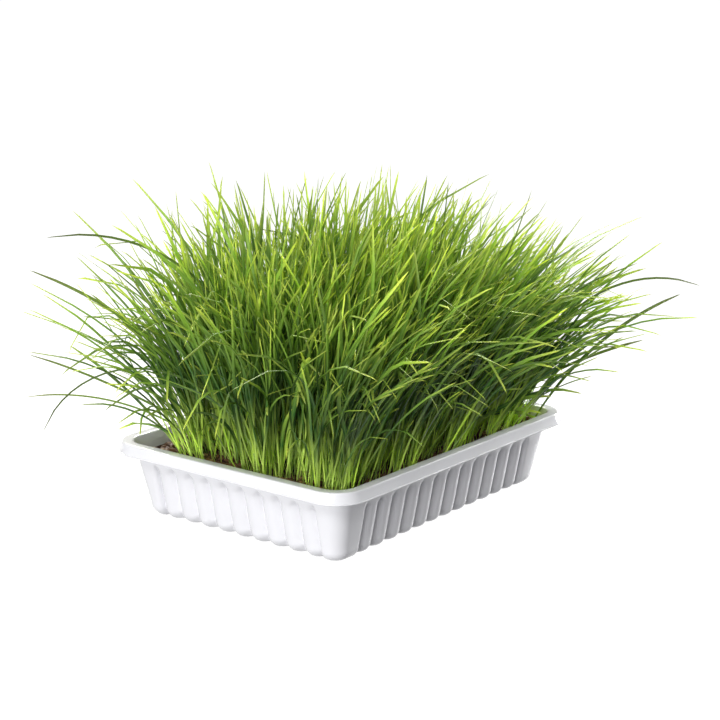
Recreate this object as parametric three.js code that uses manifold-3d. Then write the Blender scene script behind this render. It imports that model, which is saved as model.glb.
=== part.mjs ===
// A tray of wheatgrass: a thermoformed plastic tray with fluted walls, filled with a block of growing medium.
// A carpet of sprouted grain lies on the medium, and tufts of grass blades stand in it in staggered rows,
// fanning out over the rim. A few long blades stray outwards past the rest.
// Millimetres, +Z up, +X along the tray's long side. The origin is the centre of the tray's underside.

import * as THREE from "three";
import { mergeVertices } from "three/addons/utils/BufferGeometryUtils.js";
import Module from "manifold-3d";

const wasm = await Module();
wasm.setup();

// The tray's driving dimensions
const trayLength = 227;
const trayWidth = 176;
const trayHeight = 45;
const wall = 0.9;
const lipOut = 2.1;
const halfLength = trayLength / 2 - lipOut;
const halfWidth = trayWidth / 2 - lipOut;
const rimRadius = 18;
const rimBand = 5.6;
const skirtHeight = 6.6;
const skirtFlare = 1.3;
const lipThickness = 1.1;
const wallTopInset = 6.3;
const wallFootInset = 13.6;
const footRadius = 7.2;
const wallTopCornerRadius = 12;
const wallFootCornerRadius = 9.6;
const baseMargin = 5;
const baseSqueeze = 0.9;

// The flutes: rounded lobes parted by sharp grooves, which fade out under the rim
const longSideLobes = 12;
const shortSideLobes = 9;
const lobePitch = 13;
const grooveDepth = 2.8;
const grooveTop = 35;
const grooveFullBelow = 28;
const grooveEnd = 3.3;
const samplesPerLobe = 3;
const cornerSteps = 4;

// What fills the tray
const clearance = 0.4;
const mediumTop = 35.2;
const seedCarpetThickness = 1.8;
const seedLumps = 0.6;

const mediumFoot = wall + clearance;
const mediumBevel = mediumFoot + 2;
const carpetFoot = mediumTop + clearance;
const carpetTop = carpetFoot + seedCarpetThickness;
const rootedAt = carpetTop + seedLumps + clearance;

// The grass
const tuftColumns = 8;
const tuftRows = 6;
const plantedHalfLength = 97;
const plantedHalfWidth = 72;
const columnStagger = 0.25;
const rowStagger = 0.12;
const bladesPerTuft = 5;
const bladeWidth = 3.6;
const bladeThickness = 1.1;
const shortestBlade = 112;
const longestBlade = 148;
const crownRadius = 6.5;
const crownHeight = 4;
const flareAtTop = 64;
const flareHeight = 145;
const flarePower = 1.25;
const cellShare = 0.8;
const edgeShortening = 0.2;

// Long blades that stray outwards: where each is rooted, the way it leans, its lean from the vertical at the
// root and at the tip in degrees, and its length
const strayBlades = [
  { name: "stray_blade_left_high", root: [-60, 20], heading: 139, lean: [29.7, 66.4], length: 167.7 },
  { name: "stray_blade_left_arched", root: [-56, 30], heading: 150.3, lean: [-15, 96.6], length: 201.6 },
  { name: "stray_blade_left_low", root: [-72, 28], heading: 138.1, lean: [51, 69.9], length: 127.8 },
  { name: "stray_blade_left_drooping", root: [-88, 8], heading: 133.3, lean: [-2.4, 158.5], length: 154.5 },
  { name: "stray_blade_left_level", root: [-76, 40], heading: 140.4, lean: [44.7, 94.5], length: 112.8 },
  { name: "stray_blade_right_arched", root: [96, -68], heading: -43.7, lean: [-7.4, 112.2], length: 159.5 },
  { name: "stray_blade_right_straight", root: [92, -72], heading: -49.2, lean: [28.9, 67.3], length: 120.3 },
  { name: "stray_blade_right_low", root: [82, -40], heading: -54.1, lean: [51.4, 75.2], length: 111.1 },
  { name: "stray_blade_back_corner", root: [91, 74], heading: 47, lean: [30, 92], length: 136 },
  { name: "stray_blade_back_tall", root: [12, 75], heading: 82, lean: [18, 72], length: 150 },
];
const strayWidth = 3.4;
const straySteps = 7;

const degrees = Math.PI / 180;
const mix = (a, b, t) => a + (b - a) * t;
const clamp01 = (t) => Math.min(1, Math.max(0, t));

// A repeatable series of numbers from 0 to 1, so that the same tray grows each time
function makeRandom(seed) {
  let state = seed;
  return () => {
    state = (Math.imul(state, 1664525) + 1013904223) >>> 0;
    return state / 4294967296;
  };
}

// How far the wall's outer face is in from the rim's edge at height z, and its corner radius there
const wallShare = (z) => (z - footRadius) / (trayHeight - wall - footRadius);
const wallInset = (z) => mix(wallFootInset, wallTopInset, wallShare(z));
const wallCorner = (z) => mix(wallFootCornerRadius, wallTopCornerRadius, wallShare(z));
const grooveAt = (z) => grooveDepth * clamp01((grooveTop - z) / (grooveTop - grooveFullBelow));

// The stations round the tray. A side station keeps its place along its side at every height, and carries the
// share of the groove depth there: 1 in a groove and 0 on the crest of a lobe.
function sideStations(side, lobes) {
  const end = (lobes * lobePitch) / 2;
  const stations = [];
  for (let i = 0; i <= lobes * samplesPerLobe; i++) {
    const phase = (i % samplesPerLobe) / samplesPerLobe;
    stations.push({ side, along: -end + (i * lobePitch) / samplesPerLobe, groove: (2 * phase - 1) ** 2 });
  }
  stations.unshift({ side, along: -end - grooveEnd, groove: 0 });
  stations.push({ side, along: end + grooveEnd, groove: 0 });
  return stations;
}

function cornerStations(corner) {
  return Array.from({ length: cornerSteps + 1 }, (_, i) => ({ corner, turn: i / cornerSteps }));
}

const stations = [
  ...sideStations(0, longSideLobes),
  ...cornerStations(0),
  ...sideStations(1, shortSideLobes),
  ...cornerStations(1),
  ...sideStations(2, longSideLobes),
  ...cornerStations(2),
  ...sideStations(3, shortSideLobes),
  ...cornerStations(3),
];

// Sides 0 to 3 face -Y, +X, +Y and -X, and corner n joins side n to the next, so the ring runs anticlockwise.
function ringPoint(station, ring) {
  const x = halfLength - ring.inset;
  const y = halfWidth - ring.inset;
  if (station.corner !== undefined) {
    const signs = [[1, -1], [1, 1], [-1, 1], [-1, -1]][station.corner];
    const angle = (station.corner - 1 + station.turn) * 90 * degrees;
    return [
      signs[0] * (x - ring.radius) + ring.radius * Math.cos(angle),
      signs[1] * (y - ring.radius) + ring.radius * Math.sin(angle),
      ring.z,
    ];
  }
  const inward = station.groove * (ring.groove ?? 0);
  const along = station.along * (ring.squeeze ?? 1);
  const z = ring.z + station.groove * (ring.lift ?? 0);
  return [
    [along, -y + inward, z],
    [x - inward, along, z],
    [-along, y - inward, z],
    [-x + inward, -along, z],
  ][station.side];
}

// A closed surface through rings of equal count, with a flat fan over the first and the last one
function skin(rings) {
  const count = rings[0].length;
  const middle = (ring) => [0, 0, ring[0][2]];
  const points = [...rings.flat(), middle(rings[0]), middle(rings.at(-1))];
  const foot = rings.length * count;
  const faces = [];
  for (let i = 0; i < count; i++) {
    const next = (i + 1) % count;
    for (let k = 0; k < rings.length - 1; k++) {
      const a = k * count;
      const b = a + count;
      faces.push(a + i, a + next, b + next, a + i, b + next, b + i);
    }
    faces.push(foot, next, i);
    faces.push(foot + 1, foot - count + i, foot - count + next);
  }
  return geometryOf(points.flat(), faces);
}

function geometryOf(positions, faces) {
  const geometry = new THREE.BufferGeometry();
  geometry.setAttribute("position", new THREE.Float32BufferAttribute(positions, 3));
  geometry.setIndex(faces);
  geometry.computeVertexNormals();
  return geometry;
}

// The rings of the rounded foot, from the flat base up to the wall, thickness in from the outer face
function footRings(thickness) {
  const radius = footRadius - thickness;
  return [90, 50, 0].map((angle) => {
    const inset = wallFootInset + footRadius - radius * Math.cos(angle * degrees);
    const z = footRadius - radius * Math.sin(angle * degrees);
    const fade = angle === 90 ? 0.35 : 1;
    return {
      inset,
      z,
      radius: wallFootCornerRadius - 0.9 * (inset - wallFootInset),
      groove: grooveDepth * fade * Math.cos(angle * degrees),
      lift: grooveDepth * fade * Math.sin(angle * degrees),
    };
  });
}

function wallRing(z, thickness) {
  return { z, inset: wallInset(z) + thickness, radius: wallCorner(z) - thickness, groove: grooveAt(z) };
}

const concentric = (z, inset) => ({ z, inset, radius: rimRadius - inset });

function makeTray() {
  const skirtFoot = trayHeight - skirtHeight;
  const under = trayHeight - wall;
  const baseInset = wallFootInset + footRadius + baseMargin;
  const rings = [
    { z: 0, inset: baseInset, radius: 2, squeeze: baseSqueeze },
    ...footRings(0),
    wallRing(grooveFullBelow, 0),
    wallRing(grooveTop, 0),
    wallRing(under, 0),
    concentric(under, wall),
    concentric(skirtFoot, wall - skirtFlare),
    concentric(skirtFoot, -lipOut),
    concentric(skirtFoot + lipThickness, -lipOut),
    concentric(skirtFoot + lipThickness, -skirtFlare),
    concentric(trayHeight - 0.8, 0),
    concentric(trayHeight, 0.8),
    concentric(trayHeight, rimBand),
    wallRing(trayHeight - 1.4, wall),
    wallRing(grooveTop, wall),
    wallRing(grooveFullBelow, wall),
    ...footRings(wall).reverse(),
    { z: wall, inset: baseInset, radius: 2, squeeze: baseSqueeze },
  ];
  return skin(rings.map((ring) => stations.map((station) => ringPoint(station, ring))));
}

// The slabs inside the tray stay clear of its grooves, so they need only a plain rounded outline.
const slabStations = [0, 1, 2, 3].flatMap((side) => {
  const half = side % 2 ? plantedHalfWidth * 0.86 : plantedHalfLength * 0.86;
  const pieces = side % 2 ? 5 : 7;
  const along = Array.from({ length: pieces + 1 }, (_, i) => -half + (2 * half * i) / pieces);
  return [
    ...along.map((at) => ({ side, along: at, groove: 0 })),
    ...[0.25, 0.5, 0.75].map((turn) => ({ corner: side, turn })),
  ];
});

function insideRing(z) {
  const aboveFoot = Math.max(z, footRadius);
  const sunk = clamp01((footRadius - z) / (footRadius - wall - clearance));
  const rounding = (footRadius + 2) * (1 - Math.sqrt(1 - sunk * sunk));
  const inset = wallInset(aboveFoot) + wall + 2 * clearance + grooveAt(aboveFoot) + rounding;
  return { z, inset, radius: Math.max(2, wallCorner(aboveFoot) - wall - rounding) };
}

// A rounded slab inside the tray through the given heights. With a lumpiness its top is uneven.
function makeSlab(heights, lumpiness = 0) {
  const rings = heights.map((z) => slabStations.map((station) => ringPoint(station, insideRing(z))));
  const lump = (x, y) => lumpiness * Math.sin(x * 0.31 + 1.3 * Math.sin(y * 0.17)) * Math.cos(y * 0.34);
  const edge = rings.at(-1);
  const shares = lumpiness ? [0.93, 0.75, 0.55, 0.35, 0.15] : [];
  for (const share of shares) {
    rings.push(edge.map(([x, y, z]) => [x * share, y * share, z + lump(x * share, y * share)]));
  }
  return skin(rings);
}

// How the stand fans out: a point of the planted area, at a height above the carpet
function fanned(x, y, height) {
  const flare = flareAtTop * (height / flareHeight) ** flarePower;
  return new THREE.Vector3(
    x + (x / plantedHalfLength) * flare,
    y + (y / plantedHalfWidth) * flare,
    rootedAt + height,
  );
}

// A blade as a flat closed strip along a path, which narrows to a point at its last step
function bladeStrip(path, width, thickness, faceAngle) {
  const across = new THREE.Vector3(Math.cos(faceAngle), Math.sin(faceAngle), 0);
  const positions = [];
  const faces = [];
  const last = path.length - 1;
  for (let i = 0; i < last; i++) {
    const along = new THREE.Vector3().subVectors(path[i + 1], path[Math.max(0, i - 1)]).normalize();
    const out = new THREE.Vector3().crossVectors(along, across).normalize();
    const side = new THREE.Vector3().crossVectors(out, along).normalize();
    const half = (width / 2) * (1 - 0.45 * (i / last) ** 2);
    for (const [s, o] of [[-1, -1], [1, -1], [1, 1], [-1, 1]]) {
      const corner = path[i].clone().addScaledVector(side, s * half).addScaledVector(out, (o * thickness) / 2);
      positions.push(corner.x, corner.y, corner.z);
    }
    for (let k = 0; k < 4; k++) {
      const a = i * 4 + k;
      const b = i * 4 + ((k + 1) % 4);
      if (i === last - 1) faces.push(a, b, last * 4);
      else faces.push(a, b, b + 4, a, b + 4, a + 4);
    }
  }
  positions.push(path[last].x, path[last].y, path[last].z);
  faces.push(0, 2, 1, 0, 3, 2);
  return geometryOf(positions, faces);
}

function crown(centre, radius, height) {
  const cone = new THREE.CylinderGeometry(radius * 0.6, radius, height, 6);
  cone.rotateX(90 * degrees);
  cone.translate(centre.x, centre.y, centre.z + height / 2);
  return cone;
}

function toSolid(geometry) {
  const bare = geometry.clone();
  bare.deleteAttribute("normal");
  bare.deleteAttribute("uv");
  const merged = mergeVertices(bare, 1e-4);
  const solid = new wasm.Manifold(
    new wasm.Mesh({
      numProp: 3,
      vertProperties: new Float32Array(merged.attributes.position.array),
      triVerts: new Uint32Array(merged.index.array),
    }),
  );
  if (solid.volume() < 0) throw new Error("a piece is inside out");
  return solid;
}

function toGeometry(solid) {
  const mesh = solid.getMesh();
  return geometryOf(Array.from(mesh.vertProperties), Array.from(mesh.triVerts));
}

// A tuft stands in its own cell of the planted area, and its blades stay inside the cell as the cell fans out.
// The cells of neighbouring rows and columns are staggered, so no lane shows between them.
function makeTuft(column, row) {
  const random = makeRandom(7919 * (column + 1) + 104729 * (row + 1));
  const cellX = plantedHalfLength / (tuftColumns + columnStagger);
  const cellY = plantedHalfWidth / (tuftRows + rowStagger);
  const shiftX = row % 2 ? columnStagger : -columnStagger;
  const shiftY = column % 2 ? rowStagger : -rowStagger;
  const x = (2 * column + 1 - tuftColumns + 2 * shiftX) * cellX;
  const y = (2 * row + 1 - tuftRows + 2 * shiftY) * cellY;
  const edge = Math.max(Math.abs(x) / plantedHalfLength, Math.abs(y) / plantedHalfWidth);
  let tuft = toSolid(crown(fanned(x, y, 0), crownRadius, crownHeight));
  for (let i = 0; i < bladesPerTuft; i++) {
    const turn = (i + 0.7 * random()) * ((2 * Math.PI) / bladesPerTuft);
    const spread = i ? cellShare * mix(0.55, 1, random()) : 0.2;
    const length = mix(shortestBlade, longestBlade, random()) * (1 - edgeShortening * edge ** 2);
    const path = [0, 0.5, 1].map((share) => {
      const reach = mix(0.3, spread, share ** 1.2);
      return fanned(
        x + cellX * reach * Math.cos(turn),
        y + cellY * reach * Math.sin(turn),
        1 + (length - 1) * share,
      );
    });
    tuft = tuft.add(toSolid(bladeStrip(path, bladeWidth, bladeThickness, turn + Math.PI / 2)));
  }
  return toGeometry(tuft);
}

// A stray blade's lean grows from root to tip, so it arches over under its own weight.
function strayPath({ root, heading, lean, length }) {
  const point = new THREE.Vector3(root[0], root[1], rootedAt + bladeThickness / 2);
  const path = [point.clone()];
  for (let i = 0; i < straySteps; i++) {
    const share = (i + 0.5) / straySteps;
    const angle = mix(lean[0], lean[1], share) * degrees;
    const step = length / straySteps;
    point.x += step * Math.sin(angle) * Math.cos(heading * degrees);
    point.y += step * Math.sin(angle) * Math.sin(heading * degrees);
    point.z += step * Math.cos(angle);
    path.push(point.clone());
  }
  return path;
}

const material = (colour, roughness) => new THREE.MeshStandardMaterial({ color: colour, roughness, metalness: 0 });
const trayPlastic = material(0xf2f3f2, 0.38);
const medium = material(0x3b2416, 0.95);
const grain = material(0xa9793f, 0.8);
const leaf = material(0x5f9e1f, 0.5);
const strayLeaf = material(0x4a7f22, 0.5);

const wheatgrassTray = new THREE.Group();

function addMesh(name, geometry, surface) {
  const mesh = new THREE.Mesh(geometry, surface);
  mesh.name = name;
  wheatgrassTray.add(mesh);
}

addMesh("tray", makeTray(), trayPlastic);
addMesh("growing_medium", makeSlab([mediumFoot, mediumBevel, footRadius, grooveFullBelow, mediumTop]), medium);
addMesh("seed_carpet", makeSlab([carpetFoot, carpetTop], seedLumps), grain);

for (let column = 0; column < tuftColumns; column++) {
  for (let row = 0; row < tuftRows; row++) {
    const bareCorner = column === 0 && row === tuftRows - 1;
    if (bareCorner) continue;
    addMesh(`grass_tuft_${column + 1}_${row + 1}`, makeTuft(column, row), leaf);
  }
}
for (const stray of strayBlades) {
  const path = strayPath(stray);
  const strip = bladeStrip(path, strayWidth, bladeThickness, (stray.heading + 90) * degrees);
  addMesh(stray.name, strip, strayLeaf);
}

export default wheatgrassTray;
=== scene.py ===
# A tray of young wheatgrass: a white thermoformed tray with fluted walls, a bed of dark fibre soil strewn
# with sprouted grain, and a dense stand of grass blades that fans out over the rim.
# Metres, +Z up, +X along the tray's long side. The origin is the centre of the tray's underside.

import math
from collections import namedtuple

import bpy
import numpy as np
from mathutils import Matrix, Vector, noise


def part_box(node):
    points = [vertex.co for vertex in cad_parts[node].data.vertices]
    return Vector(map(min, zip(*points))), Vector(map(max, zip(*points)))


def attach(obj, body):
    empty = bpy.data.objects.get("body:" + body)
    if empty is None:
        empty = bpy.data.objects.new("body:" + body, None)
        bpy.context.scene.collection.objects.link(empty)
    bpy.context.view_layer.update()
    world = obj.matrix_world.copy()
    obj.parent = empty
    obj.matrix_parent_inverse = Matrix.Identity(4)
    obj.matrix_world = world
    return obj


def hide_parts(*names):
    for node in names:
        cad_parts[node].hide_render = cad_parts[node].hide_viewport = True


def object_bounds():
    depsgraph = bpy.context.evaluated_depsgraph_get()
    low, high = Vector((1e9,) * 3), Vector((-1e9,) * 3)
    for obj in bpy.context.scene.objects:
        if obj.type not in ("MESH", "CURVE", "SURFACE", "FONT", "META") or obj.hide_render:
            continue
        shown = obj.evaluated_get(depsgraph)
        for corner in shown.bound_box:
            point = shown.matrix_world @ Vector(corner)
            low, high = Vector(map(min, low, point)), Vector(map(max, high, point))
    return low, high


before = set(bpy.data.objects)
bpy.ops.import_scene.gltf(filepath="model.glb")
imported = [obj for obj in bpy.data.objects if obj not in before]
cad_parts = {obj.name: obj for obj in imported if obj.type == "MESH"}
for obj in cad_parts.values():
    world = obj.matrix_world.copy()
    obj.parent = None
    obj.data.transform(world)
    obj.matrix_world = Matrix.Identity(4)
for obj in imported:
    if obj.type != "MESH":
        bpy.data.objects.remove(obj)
cad_low, cad_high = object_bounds()

MM = 0.001
SEED = 20

# The tray, as in the frame
tray_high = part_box("tray")[1]
bed_low, bed_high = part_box("seed_carpet")
medium_low, medium_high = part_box("growing_medium")
TRAY_HEIGHT = tray_high.z
LIP_OUT = 2.1 * MM
HALF_LENGTH = tray_high.x - LIP_OUT
HALF_WIDTH = tray_high.y - LIP_OUT
WALL = 0.9 * MM
RIM_RADIUS = 18 * MM
RIM_BAND = 5.6 * MM
RIM_EDGE = 1.0 * MM
RIM_INNER_EDGE = 1.5 * MM
SKIRT_HEIGHT = 6.6 * MM
SKIRT_FLARE = 1.3 * MM
LIP_THICKNESS = 1.1 * MM
WALL_TOP_INSET = 6.3 * MM
WALL_FOOT_INSET = 13.6 * MM
FOOT_RADIUS = 7.2 * MM
WALL_TOP_CORNER = 12 * MM
WALL_FOOT_CORNER = 9.6 * MM
BASE_MARGIN = 5 * MM
BASE_SQUEEZE = 0.9
LONG_SIDE_LOBES = 12
SHORT_SIDE_LOBES = 9
LOBE_PITCH = 13 * MM
GROOVE_DEPTH = 3.6 * MM
GROOVE_TOP = 33.5 * MM
GROOVE_FULL_BELOW = 29 * MM
GROOVE_END = 3.3 * MM
GROOVE_RUN_OUT = 0.8
GROOVE_NARROW_AT_TOP = 4.5
GROOVE_NARROW_BELOW = 2.2
GROOVE_NARROW_AT_FOOT = 1.9
FOOT_GROOVE_LOSS = 0.6
FOOT_GROOVE_LOSS_FROM = 50
FOOT_GROOVE_LOSS_BLEND = 40
FOOT_CORNER_SHRINK = 0.9
BASE_CORNER = 2 * MM
SKIRT_FILLET = 0.25 * MM
SKIRT_FILLET_FOOT = 0.15 * MM
SKIRT_FILLET_TOP = 0.6 * MM
SKIRT_BEND_BELOW = 2.6 * MM
SKIRT_BEND_SHARE = 0.3
RIM_INNER_EDGE_SHIFT = 0.2 * MM
CORNER_STEPS = 14
FOOT_STEPS = 9
# Places along one lobe, close together near its ends, where the grooves are
LOBE_PHASES = np.array([0, 0.015, 0.04, 0.08, 0.13, 0.2, 0.3, 0.42, 0.58, 0.7, 0.8, 0.87, 0.92, 0.96, 0.985])
GROOVE_END_SHARES = np.array([1, 0.6, 0.3, 0.12])
# Heights of the wall's rings, closest together where the grooves run out
WALL_HEIGHTS = np.concatenate([np.linspace(10, 24, 4), np.linspace(26, 35, 14), [40]]) * MM
INNER_WALL_TOPS = (41.5 * MM, 40 * MM, 38 * MM)

# The bed of soil and grain
CLEARANCE = 0.4 * MM
BED_LEVEL = bed_high.z - 0.6 * MM
BED_STATIONS = 420
BED_RINGS = 86
BED_CORNER_STEPS = 8
BED_SIDE_DROP = 0.9 * MM
BED_EDGE_DROP = 0.8 * MM
BED_EDGE_BLEND = 0.03
STATION_MARGIN = 9 * MM
SOIL_ROUGHNESS = 0.6 * MM
SOIL_GRAIN = 4 * MM
HUSK_COUNT = 1400
HUSK_SIZE = (3.0 * MM, 1.5 * MM, 1.3 * MM)
CRUMB_COUNT = 900
CRUMB_SIZE = (1.2 * MM, 1.0 * MM, 0.9 * MM)

# The bed's relief: lumps of three sizes, a raised clump, and a hollow at the bare corner
CLOD_WIDTH = 14 * MM
CLOD_RISE = 0.9 * MM
CLOD_SEED = 3.1
LUMP_WIDTH = 5.5 * MM
LUMP_RISE = 0.8 * MM
LUMP_SEED = 8.7
GRAIN_WIDTH = 2.4 * MM
GRAIN_RISE = 0.45 * MM
GRAIN_SEED = 1.9
CLUMP_X = -86 * MM
CLUMP_Y = 50 * MM
CLUMP_REACH_X = 9 * MM
CLUMP_REACH_Y = 7 * MM
CLUMP_RISE = 4.5 * MM
BARE_FROM_X = -60 * MM
BARE_BLEND_X = 20 * MM
BARE_FROM_Y = 46 * MM
BARE_BLEND_Y = 14 * MM
BARE_SINK = 1.6 * MM

# The stand of grass: the frame's tufts, in staggered cells of the planted area
TUFT_COLUMNS = 8
TUFT_ROWS = 6
PLANTED_HALF_LENGTH = 97 * MM
PLANTED_HALF_WIDTH = 72 * MM
COLUMN_STAGGER = 0.25
ROW_STAGGER = 0.12
CELL_OVERLAP = 1.06
ROOT_LIMIT_X = 100 * MM
ROOT_LIMIT_Y = 75 * MM
ROOT_DEPTH = 1.5 * MM
BLADES_PER_TUFT = 93
SPARSE_BLADES_PER_TUFT = 62
BOX_SPARE = 6 * MM

# A leaf. Shares are of its length, and a fold is the angle in radians that each half is turned up by
BLADE_STEPS = 11
LEAF_VARIANTS = 40
LEAF_THICKNESS = 0.35 * MM
TIP_THICKNESS_SHARE = 0.3
BLUNTNESS = 0.62
FOOT_WIDTH_SHARE = 0.5
FULL_WIDTH_FROM = 0.38
TIP_ROUNDING = 14
FOOT_FOLD_FACTOR = 1.9
OPEN_FROM = 0.5
CORNERS_ACROSS = (0.12, 0.5, 0.88, 0.5)
VEIN_TURNS = 95.0
LIGHT_THROUGH = 0.31

# How long the blades grow. The edge is 1 at the border of the planted area
FULL_LENGTH = 132 * MM
LENGTH_SPREAD = 17 * MM
EDGE_SHORTENING = 0.11
SHORT_SHARE = 0.5
SHORT_LENGTHS = (0.5, 0.95)

# How the blades lean. A tilt is the sideways part of a direction whose upward part is 1. The stand spreads
# most along one diagonal of the tray, and the far end is the one at +X
SPREAD_AXIS = np.array([0.66, -0.75])
FOOT_TILT = 0.2
FOOT_TILT_SPREAD = 0.15
TIP_TILT = 0.62
TIP_TILT_SPREAD = 0.31
FAR_END_FROM = 0.35
FAR_END_BLEND = 0.5
FAR_END_FOOT_TILT = 0.09
FAR_END_TIP_TILT = 0.48
DRAWN_FROM = -75 * MM
DRAWN_BLEND = 50 * MM
DRAWN_FOOT_TILT = 0.05
DRAWN_TIP_TILT = 0.24
FRINGE_SHARE = 0.27
SPARSE_FRINGE_SHARE = 0.12
FRINGE_FROM = 62 * MM
FRINGE_BLEND = 30 * MM
FRINGE_FOOT_TILTS = (0.0, 0.3)
FRINGE_TIP_TILTS = (0.4, 1.35)
WILD_SHARE = 0.16
WILD_TILT_SPREAD = 0.6

# How the blades bend
DROOPING_SHARE = 0.2
DROOPS = (0.5, 1.6)
SLIGHT_DROOPS = (0.0, 0.35)
EDGE_DROOP = 0.35
SWAY_SPREAD = 0.08
SWAY_WAVES = (0.6, 1.3)
KINKED_SHARE = 0.007
KINK_PLACES = (0.45, 0.8)
KINK_DROP = 1.3
BEND_POWERS = (0.8, 2.6)

# How wide, folded and light the blades are. The lightness is partly the blades' own random tone and partly
# painted light and shade, and both ends of the stand get painted light. The near end is the corner at -X and
# +Y
BLADE_WIDTH = 1.8 * MM
WIDTH_SPREAD = 0.4 * MM
NARROWEST = 1.1 * MM
WIDEST = 3.0 * MM
SHORT_WIDTH_SHARE = 0.85
FRINGE_WIDTH = 2.0 * MM
TWIST_SPREAD = 1.1
FOLDS = (0.3, 0.75)
FRINGE_FOLDS = (0.6, 0.95)
ROLLS = (-0.9, 0.9)
LIGHTNESS = 0.47
LIGHTNESS_SPREAD = 0.25
FAR_END_PAINTED_LIGHT = 0.26
NEAR_END_PAINTED_LIGHT = 0.12
NEAR_END_FROM = -35 * MM
NEAR_END_BLEND = 40 * MM

# The long single blades
STRAY_TWIST_SPREAD = 0.25
STRAY_FOLD = 0.35
STRAY_ROLL = 0.8
STRAY_ROOT_DEPTH = 3 * MM
ACCENT_TWIST = 0.3

# The photograph's view, found from the tray's corners and flutes, in metres, degrees and millimetres of lens
CAMERA_SPOT = (-0.7671, -0.6119, 0.3201)
CAMERA_AZIMUTH = -51.886
CAMERA_ELEVATION = 13.524
FOCAL_LENGTH = 85.65
SENSOR_WIDTH = 36
CAMERA_REACH = 60
FLOOR_HALF = 30.0
FLOOR_DROP = 0.5 * MM

# The soft lights: where each stands, what it looks at, its width and height in metres and its power in
# watts. The key makes the left wall nearly white, the back one shines through the leaves, and the small low
# one on the right draws the lips of the flutes
Lamp = namedtuple("Lamp", "name spot target width height power colour", defaults=((1, 1, 1),))
MIDDLE = (0, 0, 0.08)
WARM_WHITE = (1, 0.98, 0.9)
LAMPS = [
    Lamp("key_left", (-1.6, -0.04, 0.08), (0, 0, 0.05), 0.7, 0.5, 18.5),
    Lamp("back", (0.83, 0.92, 1.16), MIDDLE, 1.0, 0.8, 58, WARM_WHITE),
    Lamp("overhead", (-0.25, -0.3, 1.7), MIDDLE, 0.8, 0.8, 6),
    Lamp("front_top", (-0.9, -0.95, 1.3), MIDDLE, 0.6, 0.6, 4),
    Lamp("bare_corner", (-0.55, -0.2, 0.42), (-0.1, 0.07, 0.05), 0.15, 0.15, 1.2),
    Lamp("right_top", (0.48, -0.24, 0.4), (0.1, -0.05, 0.08), 0.2, 0.2, 1.5),
    Lamp("flank_left", (-1.4, -0.62, 0.4), MIDDLE, 0.25, 0.5, 5),
    Lamp("edge_right", (0.7, -0.22, 0.13), (0, -0.08, 0.04), 0.08, 0.22, 5.5),
]
WORLD_COLOUR = (0.965, 0.96, 1.0, 1)
WORLD_STRENGTH = 0.15

# A closed outline of the tray or the bed: its inset from the rim's outline, its height and corner radius,
# the depth and lift of its grooves, the squeeze of its places along the sides, and how narrow each groove is
Ring = namedtuple("Ring", "inset z radius groove lift squeeze narrow", defaults=(0, 0, 1, 2))


def smooth(t):
    t = np.clip(t, 0, 1)
    return t * t * (3 - 2 * t)


def mix(a, b, t):
    return a + (b - a) * t


def build_mesh(name, points, faces, uv=None, sharp=None):
    """An object of its own for each piece, smooth shaded. Edges sharper than the given angle stay sharp."""
    mesh = bpy.data.meshes.new(name)
    mesh.from_pydata([tuple(p) for p in points], [], [tuple(f) for f in faces])
    mesh.validate()
    mesh.shade_smooth()
    if sharp is not None:
        mesh.set_sharp_from_angle(angle=math.radians(sharp))
    if uv is not None:
        layer = mesh.uv_layers.new(name="OFBake")
        index = np.empty(len(mesh.loops), int)
        mesh.loops.foreach_get("vertex_index", index)
        layer.data.foreach_set("uv", np.asarray(uv, np.float32)[index].ravel())
    piece = bpy.data.objects.new(name, mesh)
    bpy.context.scene.collection.objects.link(piece)
    return piece


def place(piece, material, slot, *nodes):
    piece.data.materials.append(material)
    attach(piece, "root")
    if nodes:
        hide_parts(*nodes)
    return piece


# The tray

def wall_share(z):
    return (z - FOOT_RADIUS) / (TRAY_HEIGHT - WALL - FOOT_RADIUS)


def wall_ring(z, thickness):
    fade = (GROOVE_TOP - z) / (GROOVE_TOP - GROOVE_FULL_BELOW)
    return Ring(
        inset=mix(WALL_FOOT_INSET, WALL_TOP_INSET, wall_share(z)) + thickness,
        z=z,
        radius=mix(WALL_FOOT_CORNER, WALL_TOP_CORNER, wall_share(z)) - thickness,
        groove=GROOVE_DEPTH * float(smooth(fade)) ** GROOVE_RUN_OUT,
        narrow=mix(GROOVE_NARROW_AT_TOP, GROOVE_NARROW_BELOW, float(np.clip(fade, 0, 1))),
    )


def foot_rings(thickness):
    """The rounded foot, from the flat base up to the wall. The grooves follow it round and grow shallower
    towards the base."""
    radius = FOOT_RADIUS - thickness
    rings = []
    for turn in np.linspace(90, 0, FOOT_STEPS):
        angle = math.radians(turn)
        inset = WALL_FOOT_INSET + FOOT_RADIUS - radius * math.cos(angle)
        fade = 1 - FOOT_GROOVE_LOSS * float(smooth((turn - FOOT_GROOVE_LOSS_FROM) / FOOT_GROOVE_LOSS_BLEND))
        rings.append(
            Ring(
                inset=inset,
                z=FOOT_RADIUS - radius * math.sin(angle),
                radius=WALL_FOOT_CORNER - FOOT_CORNER_SHRINK * (inset - WALL_FOOT_INSET),
                groove=GROOVE_DEPTH * fade * math.cos(angle),
                lift=GROOVE_DEPTH * fade * math.sin(angle),
                narrow=GROOVE_NARROW_AT_FOOT,
            )
        )
    return rings


def concentric(z, inset):
    return Ring(inset=inset, z=z, radius=RIM_RADIUS - inset)


def arc(centre_inset, centre_z, radius, start, end, steps=5):
    """Rings along an arc of the section. The angle is 0 towards the outside and 90 upwards."""
    return [
        concentric(
            centre_z + radius * math.sin(math.radians(a)),
            centre_inset - radius * math.cos(math.radians(a)),
        )
        for a in np.linspace(start, end, steps)
    ]


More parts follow.
